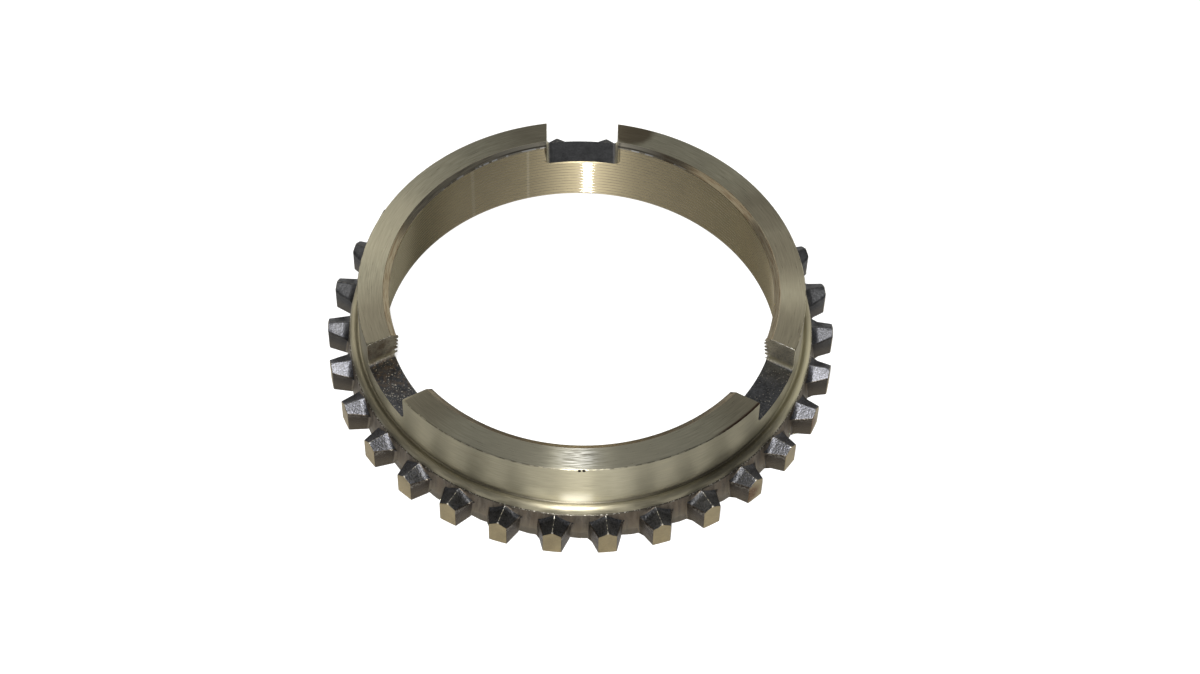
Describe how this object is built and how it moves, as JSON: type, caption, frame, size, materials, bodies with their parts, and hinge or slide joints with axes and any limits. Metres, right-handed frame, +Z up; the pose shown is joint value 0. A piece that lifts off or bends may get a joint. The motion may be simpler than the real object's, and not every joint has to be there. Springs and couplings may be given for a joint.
{
  "type": "synchronizer ring",
  "caption": "Brass synchronizer ring with a tapered friction bore, a row of roofed blocking teeth round its foot and square notches in its rim for the strut keys.",
  "frame": {"origin": "on the ring's axis, in the plane of the flat back face at the cone's wide end", "axes": "+Z up along the ring's axis, from the toothed back face to the notched rim; +Y through the middle of the rear notch; -Y is the side nearest the camera"},
  "size_m": [0.0826, 0.0824, 0.0149],
  "materials": {
    "ring_brass": "satin, turned faces with darker forged teeth"
  },
  "bodies": {
    "root": {"synchronizer_ring": "ring_brass"}
  },
  "joints": []
}
